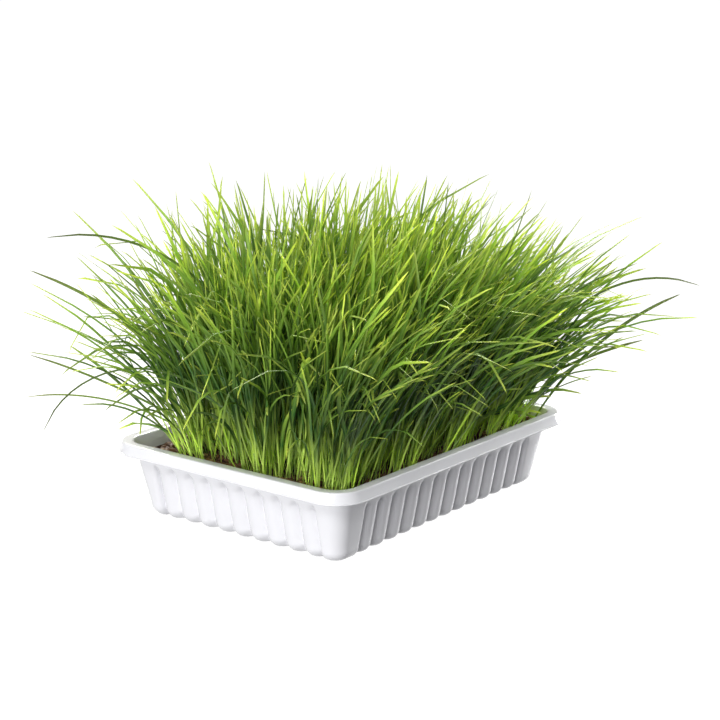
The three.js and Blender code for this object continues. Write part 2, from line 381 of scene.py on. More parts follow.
def side_stations(lobes):
    """Places along a side, with their distance from the nearest crest: 0 on a crest, 1 in a groove."""
    start = -lobes * LOBE_PITCH / 2
    along = (start + LOBE_PITCH * (np.arange(lobes)[:, None] + LOBE_PHASES)).ravel()
    away = np.tile(np.abs(2 * LOBE_PHASES - 1), lobes)
    ends = GROOVE_END * GROOVE_END_SHARES
    along = np.concatenate([start - ends, along, [-start], -start + ends[::-1]])
    past = (1 - GROOVE_END_SHARES) ** 1.5
    away = np.concatenate([past, away, [1], past[::-1]])
    return along, away


def quarter_turns(points, side):
    for _ in range(side):
        points = np.stack([-points[:, 1], points[:, 0], points[:, 2]], 1)
    return points


def outline(ring, sides, corner_steps):
    """A closed ring of points, anticlockwise from the -Y side."""
    parts = []
    x = HALF_LENGTH - ring.inset
    y = HALF_WIDTH - ring.inset
    for side in range(4):
        along, away = sides[side % 2]
        share = away**ring.narrow
        reach = (x if side % 2 else y) - share * ring.groove
        points = np.stack([along * ring.squeeze, -reach, ring.z + share * ring.lift], 1)
        parts.append(quarter_turns(points, side))
        sign_x, sign_y = ((1, -1), (1, 1), (-1, 1), (-1, -1))[side]
        angle = (side - 1 + np.arange(corner_steps + 1) / corner_steps) * math.pi / 2
        corner = np.stack(
            [
                sign_x * (x - ring.radius) + ring.radius * np.cos(angle),
                sign_y * (y - ring.radius) + ring.radius * np.sin(angle),
                np.full(corner_steps + 1, ring.z),
            ],
            1,
        )
        parts.append(corner)
    return np.concatenate(parts)


def skin(rings):
    """Points and faces of a closed surface through rings of equal count, capped by a fan at both ends."""
    count = len(rings[0])
    points = np.concatenate(rings + [rings[0].mean(0, keepdims=True), rings[-1].mean(0, keepdims=True)])
    here = np.arange(count)
    after = (here + 1) % count
    faces = []
    for k in range(len(rings) - 1):
        a = k * count
        faces += np.stack([a + here, a + after, a + count + after, a + count + here], 1).tolist()
    foot = len(rings) * count
    faces += np.stack([np.full(count, foot), after, here], 1).tolist()
    last = foot - count
    faces += np.stack([np.full(count, foot + 1), last + here, last + after], 1).tolist()
    return points, faces


def make_tray():
    sides = (side_stations(LONG_SIDE_LOBES), side_stations(SHORT_SIDE_LOBES))
    skirt_foot = TRAY_HEIGHT - SKIRT_HEIGHT
    under = TRAY_HEIGHT - WALL
    base_inset = WALL_FOOT_INSET + FOOT_RADIUS + BASE_MARGIN
    lip_half = LIP_THICKNESS / 2
    rings = [Ring(inset=base_inset, z=0, radius=BASE_CORNER, squeeze=BASE_SQUEEZE)]
    rings += foot_rings(0)
    rings += [wall_ring(z, 0) for z in WALL_HEIGHTS]
    rings += [wall_ring(under, 0), concentric(under, WALL)]
    rings += [concentric(skirt_foot, WALL - SKIRT_FLARE)]
    rings += arc(-LIP_OUT + lip_half, skirt_foot + lip_half, lip_half, -90, 90, 7)
    rings += [
        concentric(skirt_foot + LIP_THICKNESS + SKIRT_FILLET_FOOT, -SKIRT_FLARE - SKIRT_FILLET),
        concentric(skirt_foot + LIP_THICKNESS + SKIRT_FILLET_TOP, -SKIRT_FLARE),
        concentric(TRAY_HEIGHT - SKIRT_BEND_BELOW, -SKIRT_BEND_SHARE * SKIRT_FLARE),
    ]
    rings += arc(RIM_EDGE, TRAY_HEIGHT - RIM_EDGE, RIM_EDGE, 0, 90, 6)
    inner_edge = RIM_BAND - RIM_INNER_EDGE_SHIFT
    rings += arc(inner_edge, TRAY_HEIGHT - RIM_INNER_EDGE, RIM_INNER_EDGE, 90, 165, 6)
    rings += [wall_ring(z, WALL) for z in (*INNER_WALL_TOPS, *WALL_HEIGHTS[::-1][1:])]
    rings += foot_rings(WALL)[::-1]
    rings += [Ring(inset=base_inset, z=WALL, radius=BASE_CORNER, squeeze=BASE_SQUEEZE)]
    points, faces = skin([outline(ring, sides, CORNER_STEPS) for ring in rings])
    return build_mesh("tray_shell", points, faces, sharp=50)


# The bed of soil and grain

def inside_ring(z):
    """A plain rounded outline inside the wall at height z."""
    height = max(z, FOOT_RADIUS)
    sunk = float(np.clip((FOOT_RADIUS - z) / (FOOT_RADIUS - WALL - CLEARANCE), 0, 1))
    wall = wall_ring(height, WALL)
    rounding = (FOOT_RADIUS + 2 * MM) * (1 - math.sqrt(1 - sunk * sunk))
    return Ring(
        inset=wall.inset + 2 * CLEARANCE + wall.groove + rounding,
        z=z,
        radius=max(BASE_CORNER, wall.radius - rounding),
    )


def plain_stations():
    """Even places along the sides of the bed, short of its corners."""
    stations = []
    for half in (PLANTED_HALF_LENGTH - STATION_MARGIN, PLANTED_HALF_WIDTH - STATION_MARGIN):
        share = half / (PLANTED_HALF_LENGTH + PLANTED_HALF_WIDTH)
        along = np.linspace(-half, half, int(BED_STATIONS * share / 2))
        stations.append((along, np.zeros_like(along)))
    return stations


def lumps(x, y, size, seed):
    """Smooth noise from -1 to 1 with lumps of the given size."""
    return np.array([noise.noise(Vector((a / size, b / size, seed))) for a, b in zip(x, y)])


def soil_height(x, y):
    """The height of the soil's surface: clods, crumbs and a raised clump beside the bare corner."""
    coarse = lumps(x, y, CLOD_WIDTH, CLOD_SEED)
    middle = lumps(x, y, LUMP_WIDTH, LUMP_SEED)
    fine = 1 - np.abs(lumps(x, y, GRAIN_WIDTH, GRAIN_SEED)) * 2
    from_clump = ((x - CLUMP_X) / CLUMP_REACH_X) ** 2 + ((y - CLUMP_Y) / CLUMP_REACH_Y) ** 2
    clump = np.exp(-from_clump) * (1 + 0.5 * middle)
    bare = smooth((BARE_FROM_X - x) / BARE_BLEND_X) * smooth((y - BARE_FROM_Y) / BARE_BLEND_Y)
    relief = CLOD_RISE * coarse + LUMP_RISE * middle + GRAIN_RISE * fine
    return BED_LEVEL + relief + CLUMP_RISE * clump - BARE_SINK * bare


def make_bed():
    stations = plain_stations()
    edge = outline(inside_ring(BED_LEVEL), stations, BED_CORNER_STEPS)
    rings = [edge * (1, 1, 0) + (0, 0, z) for z in (bed_low.z, BED_LEVEL - BED_SIDE_DROP)]
    for share in np.linspace(0.994, 0.02, BED_RINGS):
        flat = edge * (share, share, 0)
        height = soil_height(flat[:, 0], flat[:, 1])
        settled = smooth((1 - share) / BED_EDGE_BLEND)
        flat[:, 2] = mix(BED_LEVEL - BED_EDGE_DROP, height, settled)
        rings.append(flat)
    points, faces = skin(rings)
    return build_mesh("seed_bed", points, faces)


def make_medium():
    """The block of fibre soil under the bed, with crumbly sides."""
    stations = plain_stations()
    foot_heights = np.linspace(medium_low.z, FOOT_RADIUS, 6)
    side_heights = np.linspace(9 * MM, medium_high.z, 14)
    rings = []
    for z in (*foot_heights, *side_heights):
        ring = outline(inside_ring(z), stations, BED_CORNER_STEPS)
        rough = np.array([noise.noise(Vector(p) / SOIL_GRAIN) for p in ring])
        inward = 1 - (0.5 + 0.5 * rough[:, None]) * (SOIL_ROUGHNESS / HALF_WIDTH)
        rings.append(ring * np.concatenate([inward, inward, np.ones_like(inward)], 1))
    points, faces = skin(rings)
    return build_mesh("soil_block", points, faces)


def ball(columns, rows):
    """A unit ball as points and faces, its poles on the X axis, with the share along X for each point."""
    points = [(-1.0, 0.0, 0.0)]
    for i in range(1, rows):
        angle = math.pi * i / rows
        for j in range(columns):
            turn = 2 * math.pi * j / columns
            across = math.sin(angle)
            points.append((-math.cos(angle), across * math.cos(turn), across * math.sin(turn)))
    points.append((1.0, 0.0, 0.0))
    faces = [(0, 1 + (j + 1) % columns, 1 + j) for j in range(columns)]
    for i in range(rows - 2):
        a = 1 + i * columns
        for j in range(columns):
            k = (j + 1) % columns
            faces.append((a + j, a + k, a + columns + k, a + columns + j))
    last = len(points) - 1
    a = last - columns
    faces += [(last, a + j, a + (j + 1) % columns) for j in range(columns)]
    return np.array(points), faces


def turned(points, yaw, pitch, roll):
    """Points turned by roll about X, pitch about Y and yaw about Z."""
    cr, sr, cp, sp, cy, sy = (f(a) for a in (roll, pitch, yaw) for f in (math.cos, math.sin))
    about_x = np.array([[1, 0, 0], [0, cr, -sr], [0, sr, cr]])
    about_y = np.array([[cp, 0, sp], [0, 1, 0], [-sp, 0, cp]])
    about_z = np.array([[cy, -sy, 0], [sy, cy, 0], [0, 0, 1]])
    return points @ (about_z @ about_y @ about_x).T


def scatter(random, count, margin):
    """Random places all over the bed, a margin away from the wall and out of its rounded corners."""
    edge = inside_ring(BED_LEVEL)
    half_x = HALF_LENGTH - edge.inset
    half_y = HALF_WIDTH - edge.inset
    x = random.uniform(-1, 1, count) * (half_x - margin)
    y = random.uniform(-1, 1, count) * (half_y - margin)
    to_corner = (half_x - np.abs(x)) + (half_y - np.abs(y))
    inside = to_corner > edge.radius * 0.5 + 2 * margin
    return x[inside], y[inside]


def strew(name, random, shape, count, sizes, sunk, tilt, margin):
    """Many small copies of one shape lying on the bed. Each has its own strip of the map."""
    unit, unit_faces = shape
    x, y = scatter(random, count, margin)
    z = soil_height(x, y)
    points, faces, uv = [], [], []
    for i in range(len(x)):
        size = np.array(sizes) * random.uniform(0.75, 1.15) * random.uniform(0.85, 1.15, 3)
        yaw = random.uniform(0, 2 * math.pi)
        pitch = random.normal(0, tilt)
        roll = random.uniform(-0.8, 0.8)
        local = turned(unit * size, yaw, pitch, roll)
        faces += [tuple(v + len(points) * len(unit) for v in f) for f in unit_faces]
        points.append(local + (x[i], y[i], z[i] + size[2] * (1 - sunk)))
        strip = random.integers(LEAF_VARIANTS)
        turn = 0.5 + 0.35 * unit[:, 1]
        uv.append(np.stack([(strip + turn) / LEAF_VARIANTS, 0.5 + 0.48 * unit[:, 0]], 1))
    return build_mesh(name, np.concatenate(points), faces, uv=np.concatenate(uv))


def grain_shape():
    """A grain of wheat: pointed at both ends, with a crease along its underside."""
    points, faces = ball(10, 8)
    taper = 1 - 0.28 * np.abs(points[:, 0]) ** 2
    points[:, 1:] *= taper[:, None]
    crease = np.exp(-((points[:, 1] / 0.22) ** 2)) * (points[:, 2] > 0)
    points[:, 2] -= 0.38 * crease * np.sqrt(np.clip(1 - points[:, 0] ** 2, 0, 1))
    return points, faces


def crumb_shape(random):
    points, faces = ball(7, 5)
    return points * random.uniform(0.7, 1.15, (len(points), 1)), faces


# The grass

# Long blades with a node each: where each is rooted in millimetres, its heading in degrees, its lean from
# the vertical at its root and at its tip in degrees, and its length and width in millimetres
Stray = namedtuple("Stray", "name x y heading lean_foot lean_tip length width")
STRAYS = [
    Stray("left_high", -60, 20, 139, 29.7, 66.4, 167.7, 3.0),
    Stray("left_arched", -56, 30, 150.3, -15, 96.6, 201.6, 2.4),
    Stray("left_low", -72, 28, 138.1, 51, 69.9, 127.8, 2.8),
    Stray("left_drooping", -88, 8, 133.3, -2.4, 158.5, 154.5, 2.2),
    Stray("left_level", -76, 40, 140.4, 44.7, 94.5, 112.8, 2.0),
    Stray("right_arched", 96, -68, -43.7, -7.4, 112.2, 159.5, 1.7),
    Stray("right_straight", 92, -72, -49.2, 28.9, 67.3, 120.3, 2.4),
    Stray("right_low", 82, -40, -54.1, 51.4, 75.2, 111.1, 2.2),
    Stray("back_corner", 91, 74, 47, 30, 92, 136, 2.6),
    Stray("back_tall", 12, 75, 82, 18, 72, 150, 2.6),
]

# Single blades that show in the photograph and stand in a tuft: the tuft's column and row and the strip of
# the blade's colour, and the rest as for a long blade
Accent = namedtuple("Accent", "column row variant x y heading lean_foot lean_tip length width")
ACCENTS = [
    Accent(0, 2, 3, -101, -19.3, 113, 0.8, 138.6, 122, 2.4),
    Accent(0, 2, 5, -100.8, -7.5, 179.6, -3.5, 97.8, 74, 1.8),
    Accent(0, 4, 7, -92, 46, 131, 26, 97, 69, 2.2),
    Accent(0, 4, 12, -91, 48, 130, 32, 55, 90, 2.8),
    Accent(0, 3, 12, -78, 15, 112, 0, 138, 150, 2.4),
    Accent(0, 4, 20, -99, 43, 78, -18.8, 190, 74, 1.5),
    Accent(7, 0, 27, 96, -74.1, 172.3, 60.1, 88.9, 70.2, 2.0),
    Accent(7, 0, 28, 99, -75.1, 175.2, 64.5, 101, 92.8, 2.3),
    Accent(7, 1, 27, 90, -40, -45, 16, 79, 140, 2.4),
    Accent(5, 1, 27, 36, -48, -51, 46, 107, 60, 2.6),
    Accent(5, 0, 27, 30, -62, -30, 40, 100, 66, 2.6),
    Accent(6, 0, 26, 52, -64, -38, 30, 112, 70, 2.2),
    Accent(4, 3, 10, 18, 25, -47, -4, 68, 190, 1.6),
    Accent(5, 3, 25, 30, 20, -50, 9, 12, 158, 2.6),
    Accent(1, 3, 24, -60, 8, 150, 5, 60, 170, 2.6),
    Accent(2, 4, 24, -42, 40, 120, 2, 45, 175, 2.6),
]


def centrelines(root, length, tilt_foot, tilt_tip, droop, sway, kink, bend_power):
    """The middle lines of many blades. Each blade's tilt turns from foot to tip, and droop takes its upward
    part away towards the tip, so that a heavy blade arches over. A kink turns all of it past its place."""
    steps = (np.arange(BLADE_STEPS) + 0.5) / BLADE_STEPS
    share = (steps[None, :] ** bend_power[:, None])[:, :, None]
    tilt = tilt_foot[:, None, :] + (tilt_tip - tilt_foot)[:, None, :] * share
    wave = np.sin(2 * math.pi * (steps[None, :] * sway[:, 2:3] + sway[:, 3:4]))
    tilt = tilt + sway[:, None, :2] * wave[:, :, None]
    up = 1 - droop[:, None] * steps[None, :] ** 2
    past = steps[None, :] > kink[:, 2:3]
    tilt = tilt + kink[:, None, :2] * past[:, :, None]
    up = up - KINK_DROP * past * (np.abs(kink[:, :1]) > 0)
    direction = np.concatenate([tilt, up[:, :, None]], 2)
    direction /= np.linalg.norm(direction, axis=2, keepdims=True)
    steps_along = direction * (length / BLADE_STEPS)[:, None, None]
    return np.concatenate([root[:, None, :], root[:, None, :] + np.cumsum(steps_along, 1)], 1)


def arched_path(blade, steps):
    """The middle line of a single blade whose lean grows evenly from its root to its tip."""
    foot = np.array([blade.x * MM, blade.y * MM, bed_high.z + CLEARANCE])
    heading = math.radians(blade.heading)
    share = (np.arange(steps) + 0.5) / steps
    lean = np.radians(mix(blade.lean_foot, blade.lean_tip, share))
    sideways = np.sin(lean)
    direction = np.stack([sideways * math.cos(heading), sideways * math.sin(heading), np.cos(lean)], 1)
    return np.concatenate([foot[None], foot + np.cumsum(direction * blade.length * MM / steps, 0)])


def blades(paths, width, facing, twist, fold, roll):
    """Points, faces and map places of blades along the paths. A blade is a thin closed leaf folded along
    its midrib: narrow and closed like a stem at its foot, wider and more open in the middle, blunt at its
    tip."""
    count, stations, _ = paths.shape
    share = np.linspace(0, 1, stations)
    share[-2] = mix(share[-2], 1, BLUNTNESS)
    paths = paths.copy()
    paths[:, -2] = mix(paths[:, -2], paths[:, -1], BLUNTNESS)
    along = np.gradient(paths, axis=1)
    along /= np.linalg.norm(along, axis=2, keepdims=True)
    angle = facing[:, None] + twist[:, None] * share[None, :]
    across = np.stack([np.cos(angle), np.sin(angle), np.zeros_like(angle)], 2)
    across -= (across * along).sum(2, keepdims=True) * along
    across /= np.linalg.norm(across, axis=2, keepdims=True) + 1e-9
    normal = np.cross(along, across)
    cosine, sine = np.cos(roll)[:, None, None], np.sin(roll)[:, None, None]
    across, normal = across * cosine + normal * sine, normal * cosine - across * sine
    tip_share = (1 - share**TIP_ROUNDING) ** 0.7
    width_share = mix(FOOT_WIDTH_SHARE, 1, smooth(share / FULL_WIDTH_FROM)) * tip_share
    half = (width[:, None] / 2 * width_share)[:, :, None]
    open_angle = (fold[:, None] * mix(FOOT_FOLD_FACTOR, 1.0, smooth(share / OPEN_FROM)))[:, :, None]
    wing = across * half * np.cos(open_angle) + normal * half * np.sin(open_angle)
    other = -across * half * np.cos(open_angle) + normal * half * np.sin(open_angle)
    thick = normal * LEAF_THICKNESS / 2 * mix(1, TIP_THICKNESS_SHARE, share)[None, :, None]
    corners = np.stack([paths + other, paths + thick, paths + wing, paths - thick], 2)[:, :-1]
    body = corners.reshape(count, -1, 3)
    points = np.concatenate([body, paths[:, -1:]], 1)
    faces = []
    for i in range(stations - 1):
        for k in range(4):
            a, b = 4 * i + k, 4 * i + (k + 1) % 4
            if i == stations - 2:
                faces.append((a, b, 4 * (stations - 1)))
            else:
                faces.append((a, b, b + 4, a + 4))
    faces.append((3, 2, 1, 0))
    place_across = np.tile(CORNERS_ACROSS, stations - 1)
    place_along = np.repeat(share[:-1], 4)
    return points, faces, np.append(place_across, 0.5), np.append(place_along, 1.0)


def blade_piece(name, paths, width, facing, twist, fold, roll, variants):
    points, faces, across, along = blades(paths, width, facing, twist, fold, roll)
    count, each, _ = points.shape
    every_face = [tuple(v + i * each for v in face) for i in range(count) for face in faces]
    u = (variants[:, None] + across[None, :]) / LEAF_VARIANTS
    v = np.tile(0.005 + 0.99 * along, (count, 1))
    uv = np.stack([u.ravel(), v.ravel()], 1)
    return build_mesh(name, points.reshape(-1, 3), every_face, uv=uv, sharp=75)


def tuft_centre(column, row):
    cell_x = PLANTED_HALF_LENGTH / (TUFT_COLUMNS + COLUMN_STAGGER)
    cell_y = PLANTED_HALF_WIDTH / (TUFT_ROWS + ROW_STAGGER)
    shift_x = COLUMN_STAGGER if row % 2 else -COLUMN_STAGGER
    shift_y = ROW_STAGGER if column % 2 else -ROW_STAGGER
    x = (2 * column + 1 - TUFT_COLUMNS + 2 * shift_x) * cell_x
    y = (2 * row + 1 - TUFT_ROWS + 2 * shift_y) * cell_y
    return x, y, cell_x, cell_y


def keep_inside(paths):
    """Blades that reach past the frame's box are drawn in towards their foot."""
    low = np.array(cad_low) - BOX_SPARE
    high = np.array(cad_high) + BOX_SPARE
    foot = paths[:, :1]
    reach = paths - foot
    over_high = np.where(reach > 1e-6, (high - foot) / np.maximum(reach, 1e-6), 9).min((1, 2))
    over_low = np.where(reach < -1e-6, (low - foot) / np.minimum(reach, -1e-6), 9).min((1, 2))
    factor = np.minimum(1, np.minimum(over_high, over_low))
    return foot + reach * factor[:, None, None]


def rooted(random, column, row, count):
    """Where a tuft's blades are rooted: all over its cell and a little past it."""
    x, y, cell_x, cell_y = tuft_centre(column, row)
    root_x = x + random.uniform(-CELL_OVERLAP, CELL_OVERLAP, count) * cell_x
    root_y = y + random.uniform(-CELL_OVERLAP, CELL_OVERLAP, count) * cell_y
    root_x = np.clip(root_x, -ROOT_LIMIT_X, ROOT_LIMIT_X)
    root_y = np.clip(root_y, -ROOT_LIMIT_Y, ROOT_LIMIT_Y)
    return np.stack([root_x, root_y, soil_height(root_x, root_y) - ROOT_DEPTH], 1)


def blade_lengths(random, edge):
    """The blades' lengths, and which of them are short ones that have not grown up yet."""
    count = len(edge)
    length = random.normal(FULL_LENGTH, LENGTH_SPREAD, count) * (1 - EDGE_SHORTENING * edge**2)
    short = random.random(count) < SHORT_SHARE
    return np.where(short, length * random.uniform(*SHORT_LENGTHS, count), length), short


def blade_tilts(random, outward, edge, far_end, leaning, fringe_share):
    """The blades' tilts at foot and tip, and which of them belong to the fringe. They lean outwards the
    more, the nearer they stand to the edge, and the fringe leans far out at both ends of the diagonal."""
    count = len(edge)
    foot = outward * FOOT_TILT * edge[:, None] ** 1.5 + random.normal(0, FOOT_TILT_SPREAD, (count, 2))
    tip = outward * TIP_TILT * edge[:, None] ** 0.7 + random.normal(0, TIP_TILT_SPREAD, (count, 2))
    foot[:, 0] += FAR_END_FOOT_TILT * far_end
    tip[:, 0] += FAR_END_TIP_TILT * far_end
    drawn = smooth((leaning - DRAWN_FROM) / DRAWN_BLEND)[:, None] * SPREAD_AXIS
    foot += DRAWN_FOOT_TILT * drawn
    tip += DRAWN_TIP_TILT * drawn
    fringe = random.random(count) < fringe_share * smooth((np.abs(leaning) - FRINGE_FROM) / FRINGE_BLEND)
    spread = (fringe * np.sign(leaning))[:, None] * SPREAD_AXIS
    foot += spread * random.uniform(*FRINGE_FOOT_TILTS, (count, 1))
    tip += spread * random.uniform(*FRINGE_TIP_TILTS, (count, 1))
    wild = random.random(count) < WILD_SHARE
    tip += wild[:, None] * random.normal(0, WILD_TILT_SPREAD, (count, 2))
    return foot, tip, fringe


def blade_bends(random, edge):
    """The blades' droop, sway and kink, and the power with which their bend grows along them."""
    count = len(edge)
    drooping = random.random(count) < DROOPING_SHARE
    droop = np.where(drooping, random.uniform(*DROOPS, count), random.uniform(*SLIGHT_DROOPS, count))
    droop += EDGE_DROOP * edge**3
    sway_x = random.normal(0, SWAY_SPREAD, count)
    sway_y = random.normal(0, SWAY_SPREAD, count)
    waves = random.uniform(*SWAY_WAVES, count)
    phase = random.random(count)
    kinked = random.random(count) < KINKED_SHARE
    kink = random.normal(0, 1.0, (count, 3)) * kinked[:, None]
    kink[:, 2] = random.uniform(*KINK_PLACES, count)
    return droop, np.stack([sway_x, sway_y, waves, phase], 1), kink, random.uniform(*BEND_POWERS, count)


def colour_strips(random, far_end, leaning):
    """The strip of the map for each blade, from dark to light: a random spread that is partly the blades'
    own tone and partly painted light and shade. Both ends of the stand are lighter with painted light.
    """
    near_end = smooth((NEAR_END_FROM - leaning) / NEAR_END_BLEND)
    lightness = random.normal(LIGHTNESS, LIGHTNESS_SPREAD, len(leaning))
    lightness = lightness + FAR_END_PAINTED_LIGHT * far_end + NEAR_END_PAINTED_LIGHT * near_end
    return np.clip(lightness * LEAF_VARIANTS, 0, LEAF_VARIANTS - 1).astype(int)


def make_tuft(column, row):
    """A tuft's blades, rooted in its own cell, with the single blades of the photograph that stand there."""
    random = np.random.default_rng(SEED + 100 * column + row)
    sparse = (column, row) in ((0, TUFT_ROWS - 2), (1, TUFT_ROWS - 1))
    count = SPARSE_BLADES_PER_TUFT if sparse else BLADES_PER_TUFT
    root = rooted(random, column, row, count)
    outward = root[:, :2] / (PLANTED_HALF_LENGTH, PLANTED_HALF_WIDTH)
    edge = np.abs(outward).max(1)
    far_end = smooth((outward[:, 0] - FAR_END_FROM) / FAR_END_BLEND)
    leaning = root[:, :2] @ SPREAD_AXIS
    length, short = blade_lengths(random, edge)
    fringe_share = SPARSE_FRINGE_SHARE if sparse else FRINGE_SHARE
    tilt_foot, tilt_tip, fringe = blade_tilts(random, outward, edge, far_end, leaning, fringe_share)
    paths = centrelines(root, length, tilt_foot, tilt_tip, *blade_bends(random, edge))
    own = [blade for blade in ACCENTS if (blade.column, blade.row) == (column, row)]
    paths = keep_inside(np.concatenate([paths, *[arched_path(blade, BLADE_STEPS)[None] for blade in own]]))
    width = np.clip(random.normal(BLADE_WIDTH, WIDTH_SPREAD, count), NARROWEST, WIDEST)
    width = np.where(short, width * SHORT_WIDTH_SHARE, width)
    width = np.where(fringe, np.maximum(width, FRINGE_WIDTH), width)
    facing = random.uniform(0, 2 * math.pi, count)
    twist = random.normal(0, TWIST_SPREAD, count)
    fold = np.where(fringe, random.uniform(*FRINGE_FOLDS, count), random.uniform(*FOLDS, count))
    strips = colour_strips(random, far_end, leaning)
    roll = random.uniform(*ROLLS, count)
    return blade_piece(
        f"grass_{column + 1}_{row + 1}",
        paths,
        np.append(width, [blade.width * MM for blade in own]),
        np.append(facing, [math.radians(blade.heading + 90) for blade in own]),
        np.append(twist, [ACCENT_TWIST] * len(own)),
        np.append(fold, [STRAY_FOLD] * len(own)),
        np.append(roll, [STRAY_ROLL] * len(own)),
        np.append(strips, [blade.variant for blade in own]),
    )


def make_stray(stray, index):
    """A long blade of its own, rooted a little below the bed."""
    random = np.random.default_rng(SEED + 9000 + index)
    path = arched_path(stray, 2 * BLADE_STEPS)
    direction = path[1] - path[0]
    direction /= np.linalg.norm(direction)
    below = path[0] - direction * STRAY_ROOT_DEPTH
    return blade_piece(
        f"stray_{stray.name}",
        np.concatenate([below[None], path])[None],
        width=np.array([stray.width * MM]),
        facing=np.array([math.radians(stray.heading + 90)]),
        twist=np.array([random.normal(0, STRAY_TWIST_SPREAD)]),
        fold=np.array([STRAY_FOLD]),
        roll=np.array([STRAY_ROLL]),
        variants=np.array([random.integers(LEAF_VARIANTS)]),
    )


# Materials

def nodes_of(name):
    material = bpy.data.materials.new(name)
    material.use_nodes = True
    tree = material.node_tree
    shader = tree.nodes["Principled BSDF"]
    return material, tree, shader


def node(tree, kind, **settings):
    made = tree.nodes.new(kind)
    for key, value in settings.items():
        setattr(made, key, value)
    return made


def maths(tree, operation, first, second=0.0, third=0.0):
    made = node(tree, "ShaderNodeMath", operation=operation)
    for socket, value in zip(made.inputs, (first, second, third)):
        if isinstance(value, (int, float)):
            socket.default_value = value
        else:
            tree.links.new(value, socket)
    return made.outputs[0]


def ramp(tree, factor, stops):
    made = node(tree, "ShaderNodeValToRGB")
    band = made.color_ramp
    while len(band.elements) < len(stops):
        band.elements.new(0.5)
    for element, (position, colour) in zip(band.elements, stops):
        element.position = position
        element.color = (*colour, 1)
    tree.links.new(factor, made.inputs["Fac"])
    return made.outputs["Color"]


def blend(tree, factor, first, second, how="MIX"):
    made = node(tree, "ShaderNodeMix", data_type="RGBA", blend_type=how)
    sockets = (made.inputs["Factor"], made.inputs["A"], made.inputs["B"])
    for socket, value in zip(sockets, (factor, first, second)):
        if isinstance(value, (int, float)):
            socket.default_value = value
        elif isinstance(value, tuple):
            socket.default_value = (*value, 1)
        else:
            tree.links.new(value, socket)
    return made.outputs["Result"]


def noise_map(tree, place_socket, scale, detail=4.0, roughness=0.55):
    made = node(tree, "ShaderNodeTexNoise")
    made.inputs["Scale"].default_value = scale
    made.inputs["Detail"].default_value = detail
    made.inputs["Roughness"].default_value = roughness
    tree.links.new(place_socket, made.inputs["Vector"])
    return made.outputs["Fac"]


def bump(tree, shader, height, strength, distance):
    made = node(tree, "ShaderNodeBump")
    made.inputs["Strength"].default_value = strength
    made.inputs["Distance"].default_value = distance
    tree.links.new(height, made.inputs["Height"])
    tree.links.new(made.outputs["Normal"], shader.inputs["Normal"])


def tray_material():
    """Satin white sheet plastic: nearly white, faintly uneven, with fine scuffs."""
    material, tree, shader = nodes_of("white_thermoformed_sheet")
    where = node(tree, "ShaderNodeTexCoord").outputs["Object"]
    cloud = noise_map(tree, where, scale=22, detail=3)
    fine = noise_map(tree, where, scale=420, detail=5)
    colour = ramp(tree, cloud, [(0.3, (0.705, 0.705, 0.73)), (0.7, (0.735, 0.735, 0.765))])
    tree.links.new(colour, shader.inputs["Base Color"])
    rough = maths(tree, "MULTIPLY_ADD", fine, 0.08, 0.14)
    tree.links.new(rough, shader.inputs["Roughness"])
    shader.inputs["IOR"].default_value = 1.5
    shader.inputs["Coat Weight"].default_value = 0.2
    shader.inputs["Coat Roughness"].default_value = 0.12
    wavy = maths(tree, "ADD", maths(tree, "MULTIPLY", cloud, 0.8), maths(tree, "MULTIPLY", fine, 0.015))
    bump(tree, shader, wavy, strength=0.12, distance=0.5 * MM)
    return material


def soil_material(name, dark, light, speck):
    """Moist crumbly fibre soil, with pale specks of fibre and husk."""
    material, tree, shader = nodes_of(name)
    where = node(tree, "ShaderNodeTexCoord").outputs["Object"]
    clods = noise_map(tree, where, scale=130, detail=6, roughness=0.65)
    crumbs = noise_map(tree, where, scale=900, detail=4, roughness=0.6)
    base = ramp(tree, clods, [(0.3, dark), (0.72, light)])
    flecks = maths(tree, "GREATER_THAN", crumbs, 0.66)
    colour = blend(tree, maths(tree, "MULTIPLY", flecks, 0.55), base, speck)
    tree.links.new(colour, shader.inputs["Base Color"])
    wet = maths(tree, "MULTIPLY_ADD", clods, -0.5, 1.05)
    tree.links.new(wet, shader.inputs["Roughness"])
    height = maths(tree, "MULTIPLY_ADD", crumbs, 0.5, clods)
    bump(tree, shader, height, strength=0.9, distance=1.5 * MM)
    return material


def strip_coordinates(tree):
    """The map's strip number, the place across it from 0 to 1, and the place along it."""
    spot = node(tree, "ShaderNodeUVMap", uv_map="OFBake").outputs["UV"]
    split = node(tree, "ShaderNodeSeparateXYZ")
    tree.links.new(spot, split.inputs[0])
    scaled = maths(tree, "MULTIPLY", split.outputs["X"], LEAF_VARIANTS)
    strip = maths(tree, "FLOOR", scaled)
    across = maths(tree, "FRACT", scaled)
    return spot, strip, across, split.outputs["Y"]


def random_of(tree, strip):
    """A random number for each strip, read between the whole numbers, where it is steady."""
    made = node(tree, "ShaderNodeTexWhiteNoise", noise_dimensions="1D")
    tree.links.new(maths(tree, "ADD", strip, 0.3), made.inputs["W"])
    return made.outputs["Value"]


